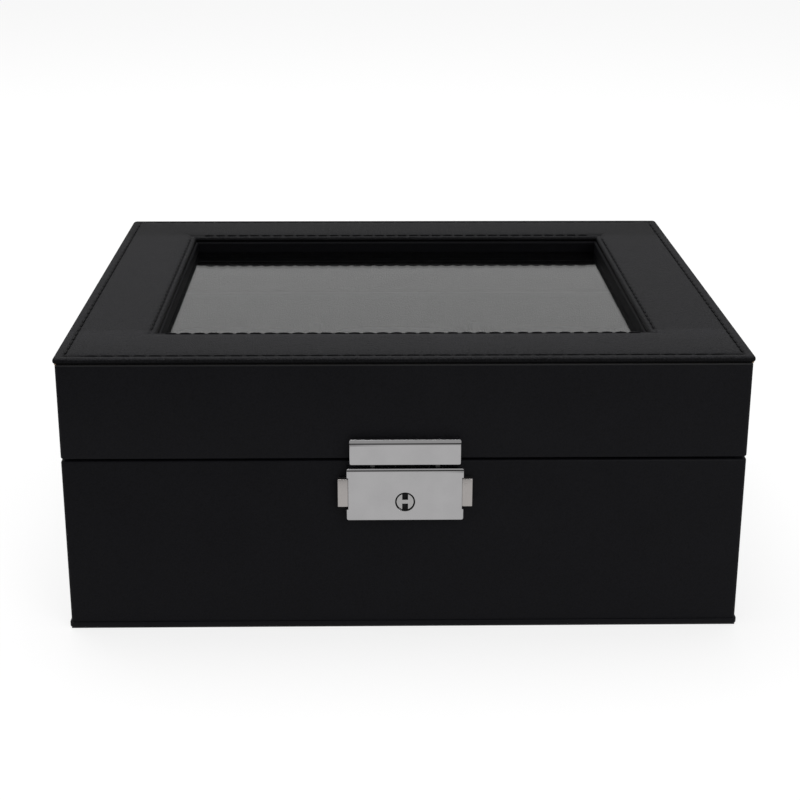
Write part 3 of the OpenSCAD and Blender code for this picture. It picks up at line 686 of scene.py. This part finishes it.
# the step beside each button, and its window, deep enough for the pressed button
for x_from, y_from, half_height in (
    (16.55 * mm, case_low.y - over, 4.9 * mm),
    (14.75 * mm, case_low.y + 0.5 * mm, 4.55 * mm),
):
    low_z, high_z = button_mid - half_height, button_mid + half_height
    case_cuts.append(((x_from, y_from, low_z), (past_case, case_high.y + over, high_z)))
    case_cuts.append(((-past_case, y_from, low_z), (-x_from, case_high.y + over, high_z)))
slot_near, slot_far = 7.75 * mm, 10.45 * mm
slot_rear = -88.2 * mm
slot_deep = 2 * mm
for x_from, x_to in ((slot_near, slot_far), (-slot_far, -slot_near)):
    slot_low = (x_from, case_low.y + face_t, case_high.z - slot_deep)
    case_cuts.append((slot_low, (x_to, slot_rear, case_high.z + over)))
cut_boxes(case, case_cuts)
bpy.ops.object.select_all(action="DESELECT")
bpy.ops.mesh.primitive_cylinder_add(
    vertices=64,
    radius=bore_r,
    depth=2 * over,
    location=(0, case_low.y, plug_z),
    rotation=(math.pi / 2, 0, 0),
)
bore = bpy.context.object
apply_modifier(case, "BOOLEAN", operation="DIFFERENCE", object=bore, solver="EXACT")
bpy.data.objects.remove(bore)


def on_bore_rim(edge):
    """The edges round the mouth of the key's bore, in the case's face."""
    from_axis = [Vector((v.co.x, 0, v.co.z - plug_z)).length for v in edge.verts]
    in_face = all(abs(v.co.y - case_low.y) < touching for v in edge.verts)
    return in_face and all(abs(distance - bore_r) < touching for distance in from_axis)


round_edges(case, on_bore_rim, 0.24 * mm, 4)
dress(case, case_chrome, "chrome", "base", "lock_housing")
apply_modifier(case, "WEIGHTED_NORMAL", mode="FACE_AREA", weight=80, keep_sharp=True)

# ---------- push buttons ----------
# Two chrome plated latch plates whose ends are the buttons. A spring behind each one pushes it
# out, and squeezing both lets the hooks go.
button_chrome = chrome_finish("satin_chrome_buttons", (0.76, 0.72, 0.70), rough=0.16, smudge=0.10)
cap_start = 16.9 * mm
cap_rear = -88.0 * mm
cap_deeper = 0.4 * mm
for side in ("left", "right"):
    cap = solid_copy(f"{side}_button", f"{side}_push_button_cap")
    for vertex in cap.data.vertices:
        if abs(abs(vertex.co.x) - cap_start) < 0.02 * mm and vertex.co.y < cap_rear + touching:
            vertex.co.x -= math.copysign(cap_deeper, vertex.co.x)
    soften(cap, 0.2 * mm, 3)
    dress(cap, button_chrome, "chrome", f"{side}_push_button", f"{side}_button")


# ---------- key barrel ----------
# The barrel turns a cam that blocks both latch plates. Its face is polished, and shade is painted
# dark on its rim, behind the face and in the two notches for the key.
def painted_barrel_shade(plating, place):
    """1 where shade is painted: on the barrel's rim, and behind its polished face."""
    deep = plating.part(place, "Y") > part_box("key_plug")[0].y + unshaded_face_deep
    return 1 - (1 - deep) * (1 - (from_plug_axis(plating, place) > unshaded_face_r))


unshaded_face_deep = 0.16 * mm
unshaded_face_r = 2.46 * mm
# painted shade: the barrel's rim and its notches are painted dark
plug_chrome = chrome_finish("key_barrel_chrome", (0.74, 0.73, 0.73), rough=0.10, smudge=0.10, shade_mask=painted_barrel_shade)
dress_copy("key_plug", "key_barrel_plug", 0.12 * mm, plug_chrome, "key_barrel")
for hidden_node in (
    "lock_back_plate",
    "lock_screws",
    "left_latch_spring",
    "right_latch_spring",
    "locking_cam",
    "plug_clip",
):
    refinish(hidden_node, zinc_steel)

# ---------- lid boards ----------
# Four fibreboard walls and the board round the window, which covers them and carries the glass.
# They are stained black, because a thin line of the walls shows below the lid's lining.
stained_board = board_finish("stained_fibreboard", (0.006, 0.006, 0.006), (0.014, 0.013, 0.013))
for board_node in ("lid_front_wall", "lid_rear_wall", "lid_left_wall", "lid_right_wall", "lid_window_board"):
    refinish(board_node, stained_board)

# ---------- lid leather ----------
# A second sheet of the same leatherette goes round the lid's walls. It is turned in over their
# lower rim, where the hinges are let in, and over the window board on top.
lid_low, lid_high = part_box("lid_wrap")
lid_board_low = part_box("lid_right_wall")[0].z
lid_board_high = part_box("lid_window_board")[1]
lid_inside_high = Vector((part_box("lid_right_wall")[0].x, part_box("lid_rear_wall")[0].y, 0))
lap_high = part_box("window_edge_wrap")[1]
lid_skin = box_piece("lid_leather", lid_low, lid_high)
round_edges(lid_skin, upright, case_corner, 4)
round_edges(lid_skin, lambda edge: not upright(edge), rim_round, 3)
cut_boxes(
    lid_skin,
    [
        block(boards_high, lid_board_low, lid_board_high.z),
        block(lid_inside_high, lid_low.z - over, lid_board_low + over),
        block(lap_high, lid_board_high.z - over, lid_high.z + over),
    ],
)
lid_leaves = ("left_hinge_lid_leaf", "right_hinge_lid_leaf")
cut_boxes(lid_skin, hinge_pockets(lid_leaves, lid_low.z - over, lid_board_low))


def rim_highlight_mask(hide, place):
    """1 along the lid's upper rim, where a highlight is painted as a paler band of black."""
    height = hide.part(place, "Z")
    above = hide.limited(height, lid_high.z - 0.62 * mm, lid_high.z - 0.45 * mm)
    below = hide.limited(height, lid_high.z - 0.02 * mm, lid_high.z - 0.15 * mm)
    return above * below


# painted highlight: a paler black along the lid's upper rim
rim_highlight_black = (0.022, 0.022, 0.023)
lid_leather = leather_finish(
    "lid_leather", wall_black, **wall_grain, gloss=0.14, rough=0.50, painted_light=(rim_highlight_mask, rim_highlight_black)
)
dress(lid_skin, lid_leather, "leather_walls", "lid", "lid_wrap")

# ---------- window edge ----------
# The window's raw board edge is covered by a strip of leatherette, which laps over the board
# and shows as a narrow ledge inside the padded panel. Its upper edge is rounded.
window_high = Vector((73.3 * mm, 60.8 * mm, 0))
edge_skin = solid_copy("window_edge_wrap", "window_edge_leather")
round_edges(
    edge_skin,
    lambda edge: level_edge_at(lap_high.z)(edge) and abs(middle(edge).x) < window_high.x + 0.01 * mm
    and abs(middle(edge).y) < window_high.y + 0.01 * mm,
    0.7 * mm,
    4,
)
# painted shade: the ledge's leatherette has a darker black than the walls' for the shade it lies in, and less
# gloss
shaded_edge_black = (0.0040, 0.0040, 0.0050)
shaded_edge_leather = leather_finish("window_edge_leather", shaded_edge_black, **wall_grain, gloss=0.05, rough=0.60)
dress(edge_skin, shaded_edge_leather, "leather_walls", "lid", "window_edge_wrap")


# ---------- padded top panel ----------
# A thin board frame with a layer of foam, covered in soft leatherette that is turned round its
# outer and inner edges. Two rows of stitching pull the leather down, and it puckers between the
# stitches. The cover is one closed ring: every ring of its section is shaped in turn.
panel_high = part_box("top_panel_leather")[1]
outer_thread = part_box("outer_stitching")[1]
inner_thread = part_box("inner_stitching")[1]
thread_w = 0.7 * mm
panel_window = Vector((74.0 * mm, 61.5 * mm, 0))
rail = panel_high.x - panel_window.x
cover_top = 84.95 * mm
outer_line = panel_high.x - (outer_thread.x - thread_w / 2)
inner_line = panel_high.x - (inner_thread.x - thread_w / 2)
outer_pitch = 4.6 * mm
inner_pitch = 4.2 * mm
ring_step = 0.58 * mm
crown = 0.32 * mm
corner_round = 1.6 * mm


def bell(distance, width):
    return math.exp(-((distance / width) ** 2))


def wander(position, seed):
    """A slow irregular wave between about -1 and 1, by the position along a seam in metres."""
    slow = math.sin(position * 61 + seed)
    middling = math.sin(position * 143 + 2.1 * seed)
    quick = math.sin(position * 337 + 3.7 * seed)
    return (slow + middling + quick) / 3


def cover_height(along_outer, along_inner, depth, seed):
    """The leather's height: along is the place along each seam, depth the distance from the edge."""
    z = cover_top
    # turned outer edge and rolled inner edge
    for away, roll, drop in ((depth, 1.0 * mm, 0.95 * mm), (rail - depth, 1.75 * mm, 1.3 * mm)):
        if away < roll:
            z -= drop * (1 - math.sqrt(max(0.0, 1 - (1 - away / roll) ** 2)))
    # padding between the seams
    share = (depth - outer_line) / (inner_line - outer_line)
    if 0 < share < 1:
        unevenness = 0.02 * mm * wander(along_outer * 0.7 + depth * 2, seed)
        z += crown * (1 - (2 * share - 1) ** 4) + unevenness
    # seams, each a narrow groove that is deepest under the stitches
    for line, pitch, place, pull, width in (
        (outer_line, outer_pitch, along_outer, 0.34 * mm, 0.42 * mm),
        (inner_line, inner_pitch, along_inner, 0.24 * mm, 0.42 * mm),
    ):
        away = depth - line
        beat = math.cos(2 * math.pi * place / pitch)
        z -= pull * bell(away, width) * (0.8 + 0.2 * beat)
        z -= 0.10 * mm * bell(away, 1.2 * mm)
        z -= 0.022 * mm * bell(abs(away) - 1.0 * mm, 0.5 * mm) * (beat + 0.5 * wander(place * 3, seed + 5))
    return z


# Sections in millimetres: the turned edges and the lining give a depth and a height, the top
# gives depths only, which lie closer together at the seams and rolls.
outer_turn = [(0.56, 83.02), (0.48, 83.02), (0.44, 83.26), (0.30, 83.34), (0.12, 83.44), (0.02, 83.68)]
inner_turn = [(0.0, 83.5), (0.03, 83.14), (0.16, 83.03), (0.56, 83.03)]
top_depths = [0, 0.06, 0.16, 0.3, 0.5, 0.75, 1.05, 1.4, 1.75, 2.1, 2.4, 2.62, 2.8, 2.92, 3.0]
top_depths += [3.08, 3.2, 3.38, 3.6, 3.95, 4.4, 5.2, 6.5, 8.5, 11, 14, 17, 19.5, 21.3, 22.5]
top_depths += [23.2, 23.7, 24.05, 24.3, 24.5, 24.62, 24.7]
top_depths += [24.78, 24.9, 25.1, 25.3, 25.5, 25.65, 25.8, 25.95, 26.1, 26.22, 26.32, 26.4, 26.46, 26.5]
lining_points = [(25.8, 84.42), (20, 84.42), (6, 84.42), (0.7, 84.42)]
section_steps = len(outer_turn) + len(top_depths) + len(inner_turn) + len(lining_points)


def section_point(k, along_outer, along_inner, seed):
    """Point k of the cover's section: its depth from the panel's edge, and its height."""
    if k < len(outer_turn):
        depth, z = outer_turn[k]
        return depth * mm, z * mm
    k -= len(outer_turn)
    if k < len(top_depths):
        depth = top_depths[k] * mm
        return depth, cover_height(along_outer, along_inner, depth, seed)
    k -= len(top_depths)
    if k < len(inner_turn):
        depth, z = inner_turn[k]
        return rail - depth * mm, z * mm
    depth, z = lining_points[k - len(inner_turn)]
    return depth * mm, z * mm


def ring_places(length):
    """Places of the rings along one side, from mitre to mitre, closer together at the corners."""
    half = length / 2
    count = round(length / ring_step)
    even = [-half + length * k / count for k in range(count)]
    near = [0.15 * mm, 0.32 * mm, 0.8 * mm, 1.0 * mm, 1.35 * mm]
    return sorted(even + [half - n for n in near] + [n - half for n in near])


sides = []
panel_w, panel_d = 2 * panel_high.x, 2 * panel_high.y
for side, (normal, length) in enumerate(
    [((0, -1), panel_w), ((1, 0), panel_d), ((0, 1), panel_w), ((-1, 0), panel_d)]
):
    for place in ring_places(length):
        sides.append((side, Vector((*normal, 0)), length / 2, place))

bpy.ops.object.select_all(action="DESELECT")
bpy.ops.mesh.primitive_grid_add(x_subdivisions=len(sides), y_subdivisions=section_steps, size=1)
cover = bpy.context.object
cover.name = "padded_lid_cover"
for vertex in cover.data.vertices:
    k, ring = divmod(vertex.index, len(sides) + 1)
    k %= section_steps
    side, normal, half, place = sides[ring % len(sides)]
    tangent = Vector((-normal.y, normal.x, 0))
    edge = panel_high.x if normal.x else panel_high.y
    along_outer = place * (1 - outer_line / half)
    along_inner = place * (1 - inner_line / half)
    depth, z = section_point(k, along_outer, along_inner, side)
    point = normal * (edge - depth) + tangent * place * (1 - depth / half)
    centre = Vector((panel_high.x - corner_round, panel_high.y - corner_round, 0))
    beyond = Vector((abs(point.x) - centre.x, abs(point.y) - centre.y, 0))
    if beyond.x > 0 and beyond.y > 0:
        beyond *= max(beyond.x, beyond.y) / beyond.length
        point.x = math.copysign(centre.x + beyond.x, point.x)
        point.y = math.copysign(centre.y + beyond.y, point.y)
    vertex.co = (point.x, point.y, z)
open_mesh(cover, "FACE", lambda face: True)
bpy.ops.mesh.remove_doubles(threshold=0.001 * mm)
bpy.ops.mesh.normals_make_consistent(inside=False)
close_mesh()


# Painted shade on the top leather's rails: an even share, more on the rear rail, and none towards the window
# on the front rail, which reads there as painted light.
even_shade = 0.26
rear_shade = 0.30


def painted_crease_shade(hide, place):
    """1 where shade is painted: along the outer seam and low on the outer roll; less over the rails, more on
    the rear rail, and none towards the window on the front rail.
    """
    beyond_x = abs(hide.part(place, "X")) - (panel_high.x - outer_line)
    beyond_y = abs(hide.part(place, "Y")) - (panel_high.y - outer_line)
    seam = hide.limited(abs(beyond_x.larger(beyond_y)), 0.70 * mm, 0.30 * mm) * 0.75
    height = hide.part(place, "Z")
    upper_face = hide.limited(height, 84.85 * mm, 84.35 * mm) * 0.7
    lower_face = hide.limited(height, 83.9 * mm, 83.5 * mm) * 0.3
    # painted shade: the rear rail is a little darker; painted light: the front one is paler towards the
    # window
    along = hide.part(place, "Y")
    towards_window = hide.limited(along, -78 * mm, -62 * mm) * hide.limited(along, -60 * mm, -61.4 * mm)
    rear_rail = hide.limited(along, 60 * mm, 64 * mm)
    rail_shade = even_shade - towards_window * even_shade + rear_rail * rear_shade
    return seam.larger(upper_face + lower_face).larger(rail_shade)


# The top leather's black is paler than the walls': painted light, for the light that falls on the top. The
# painted shade above darkens most of it again.
top_leather = leather_finish(
    "top_leather",
    (0.0194, 0.0193, 0.0216),
    grain_size=0.00050,
    grain_depth=0.00020,
    gloss=0.06,
    rough=0.50,
    contrast=0.5,
    painted_light=(painted_crease_shade, (0.0006, 0.0006, 0.0008)),
)
dress(cover, top_leather, "leather_top", "lid", "top_panel_leather")


def foam_finish():
    foam = Paint(bpy.data.materials.new("padding_foam"))
    place = foam.node("ShaderNodeTexCoord", output="Object")
    cells = foam.node("ShaderNodeTexVoronoi", {}, {"Vector": place, "Scale": 1500.0})
    colour = foam.between(cells, (0.42, 0.42, 0.40), (0.68, 0.67, 0.64))
    return foam.surface({"Base Color": colour, "Roughness": 0.95}, cells, 0.0004)


refinish("top_panel_board", fibreboard)
refinish("top_panel_foam", foam_finish())


# ---------- stitching ----------
# Two rows of black polyester thread in the padded panel. One stitch is a short bar of thread
# whose ends dive into the leather, and each row repeats it round the panel.
def thread_finish():
    thread = Paint(bpy.data.materials.new("black_thread"))
    place = thread.node("ShaderNodeTexCoord", output="Object")
    twist = thread.noise(place, 0.0003, 2.0)
    colour = thread.between(twist, (0.002, 0.002, 0.003), (0.006, 0.006, 0.007))
    return thread.surface({"Base Color": colour, "Roughness": 0.6, "Specular IOR Level": 0.12}, twist, 0.0001)


black_thread = thread_finish()
stitch_share = 0.82


def stitch_row(name, corner, pitch, stitch_r, stitch_z, node):
    """A row of stitches round a rectangle whose corner is given, the same distance apart."""
    bars = []
    for normal, half, edge in (
        ((0, -1), corner.x, corner.y),
        ((1, 0), corner.y, corner.x),
        ((0, 1), corner.x, corner.y),
        ((-1, 0), corner.y, corner.x),
    ):
        tangent = Vector((-normal[1], normal[0], 0))
        first = -math.floor(half / pitch - 0.25) + 0.5
        count = int(round(-2 * first)) + 1
        bpy.ops.object.select_all(action="DESELECT")
        start = Vector((*normal, 0)) * edge + tangent * first * pitch
        bpy.ops.mesh.primitive_uv_sphere_add(
            segments=6,
            ring_count=7,
            location=(start.x, start.y, stitch_z),
            rotation=(0, math.pi / 2, 0),
        )
        bar = bpy.context.object
        bpy.ops.object.transform_apply(location=False, rotation=True, scale=False)
        bar.scale = [pitch * stitch_share / 2 if abs(t) > 0.5 else stitch_r for t in tangent[:2]] + [stitch_r]
        bpy.ops.object.transform_apply(location=True, rotation=True, scale=True)
        apply_modifier(
            bar,
            "ARRAY",
            count=count,
            use_relative_offset=False,
            use_constant_offset=True,
            constant_offset_displace=tangent * pitch,
        )
        bars.append(bar)
    take(bars[0])
    for bar in bars[1:]:
        bar.select_set(True)
    bpy.ops.object.join()
    row = bpy.context.object
    row.name = name
    dress(row, black_thread, "thread", "lid", node)


outer_corner = Vector((outer_thread.x - thread_w / 2, outer_thread.y - thread_w / 2, 0))
inner_corner = Vector((inner_thread.x - thread_w / 2, inner_thread.y - thread_w / 2, 0))
outer_r, outer_z = 0.30 * mm, 84.86 * mm
inner_r, inner_z = 0.36 * mm, 84.93 * mm
stitch_row("outer_thread_row", outer_corner, outer_pitch, outer_r, outer_z, "outer_stitching")
stitch_row("inner_thread_row", inner_corner, inner_pitch, inner_r, inner_z, "inner_stitching")


# ---------- glass ----------
# A 2 mm pane of clear float glass under the window board, held up by the retainer. The solid is
# the pane itself, and its finish is only a little uneven where it was wiped.
def glass_finish():
    glass = Paint(bpy.data.materials.new("float_glass"))
    place = glass.node("ShaderNodeTexCoord", output="Object")
    wipe = glass.limited(glass.noise(place, 0.03, 3.0), 0.45, 0.8)
    return glass.surface(
        {
            "Base Color": (0.97, 0.98, 0.97, 1),
            "Roughness": wipe * 0.03,
            "IOR": 1.52,
            "Transmission Weight": 1.0,
        }
    )


refinish("glass_pane", glass_finish())

# ---------- lid lining ----------
# Velvet covered cards line the lid's walls below the glass, and a velvet frame holds the pane.
dress_copy("glass_retainer", "velvet_glass_retainer", 0.5 * mm, lining_velvet, "lid")
dress_copy("lid_lining", "velvet_lid_lining", 0.8 * mm, lining_velvet, "lid", 3)

# ---------- hasp ----------
# A chrome plated plate on the lid's front, screwed from inside, with two hooks that drop into
# the lock case. The real latch plates catch them there; here they stand just released.
hasp_low, hasp_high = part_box("hasp_plate")
hasp = plate_blank("chrome_hasp", hasp_low, hasp_high, 0.5 * mm, 0.70 * mm)
hollow_front = -89.75 * mm
hollow_low, hollow_high = hasp_low.z + face_t, hasp_high.z - face_t
hasp_half = 15.15 * mm
hook_x = 9.5 * mm
leg = 0.7 * mm
hasp_cuts = [((-hasp_half, hollow_front, hollow_low), (hasp_half, hasp_high.y + over, hollow_high))]
for x_middle in (-hook_x, hook_x):
    leg_low = (x_middle - leg, hollow_front, hasp_low.z - over)
    hasp_cuts.append((leg_low, (x_middle + leg, hasp_high.y + over, hollow_low + leg)))
cut_boxes(hasp, hasp_cuts)
dress(hasp, chrome, "chrome", "lid", "hasp_plate")
apply_modifier(hasp, "WEIGHTED_NORMAL", mode="FACE_AREA", weight=80, keep_sharp=True)
hook_steel = nickel_finish("blackened_steel", (0.10, 0.10, 0.10), 0.30, 0.00003)
dress_copy("hasp_hooks", "hasp_hook_pair", 0.12 * mm, hook_steel, "lid")
refinish("hasp_screws", zinc_steel)

# ---------- cushions ----------
# Six cushions of black velvet, filled with wadding: a strip goes round the top, front, bottom and
# back, and an end panel is sewn in at each side. One is blown up by a cloth simulation.
cushion_velvet = velvet_finish("cushion_velvet", (0.003, 0.003, 0.004), (0.010, 0.010, 0.012), 0.0006, 0.10)
first_cushion = "pillow_front_middle"
cushion_low, cushion_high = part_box(first_cushion)
slack = Vector((2.4, 2.6, 2.2)) * mm
largest_move = 4 * mm
blow_frames = 20
seam_in = 2.6 * mm
core_r = 20 * mm
cushion_round = 13 * mm
end_round = 2.5 * mm

cushion = box_piece("cushion", cushion_low + slack, cushion_high - slack)
round_edges(cushion, lambda e: abs(e.verts[0].co.x - e.verts[1].co.x) > 10 * mm, cushion_round, 6)
round_edges(cushion, lambda e: abs(e.verts[0].co.x - e.verts[1].co.x) < mm, end_round, 3)
apply_modifier(cushion, "REMESH", mode="VOXEL", voxel_size=3 * mm, use_smooth_shade=True)
start_places = [v.co.copy() for v in cushion.data.vertices]
cloth = cushion.modifiers.new("cloth", "CLOTH")
cloth.settings.quality = 6
cloth.settings.mass = 0.05
cloth.settings.use_pressure = True
cloth.settings.uniform_pressure_force = 90
cloth.settings.effector_weights.gravity = 0
cloth.point_cache.frame_start = 1
cloth.point_cache.frame_end = blow_frames
for frame_number in range(1, blow_frames + 1):
    bpy.context.scene.frame_set(frame_number)
take(cushion)
bpy.ops.object.modifier_apply(modifier="cloth")
bpy.context.scene.frame_set(1)
for vertex, start in zip(cushion.data.vertices, start_places):
    move = vertex.co - start
    if move.length > largest_move:
        vertex.co = start + move * (largest_move / move.length)
apply_modifier(cushion, "SUBSURF", levels=2, render_levels=2)


def sew_cushion(piece, centre, low, high, seed):
    """Draws in the two seams of a cushion, puckers them, and gives it its own small unevenness."""
    for vertex in piece.data.vertices:
        away = vertex.co - centre
        ring = Vector((0, away.y, away.z))
        turn = math.atan2(away.z, away.y)
        side = 1 if away.x > 0 else -1
        to_seam = (high.x - centre.x - seam_in) - abs(away.x)
        outwards = ring.length / core_r if ring.length < core_r else 1.0
        inward = 0.55 * mm * bell(to_seam, 0.7 * mm)
        inward += 0.10 * mm * bell(to_seam - 1.5 * mm, 1.8 * mm) * (1 + math.sin(34 * turn + seed + side))
        inward += 0.22 * mm * (1 + wander(0.05 * turn + away.x, seed)) * outwards
        vertex.co -= ring.normalized() * inward * outwards
        vertex.co = Vector([min(max(c, l), h) for c, l, h in zip(vertex.co, low, high)])


cushion_seed = random.Random(7)
for row in ("front", "rear"):
    for column in ("left", "middle", "right"):
        pillow_node = f"pillow_{row}_{column}"
        pillow_low, pillow_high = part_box(pillow_node)
        pillow = cushion.copy()
        pillow.data = cushion.data.copy()
        pillow.name = f"{row}_{column}_velvet_cushion"
        bpy.context.scene.collection.objects.link(pillow)
        step = pillow_low - cushion_low
        for vertex in pillow.data.vertices:
            vertex.co += step
        seed = cushion_seed.uniform(0, 6)
        sew_cushion(pillow, (pillow_low + pillow_high) / 2, pillow_low, pillow_high, seed)
        dress(pillow, cushion_velvet, "cushion_velvet", f"{pillow_node}_cushion", pillow_node)
bpy.data.objects.remove(cushion)
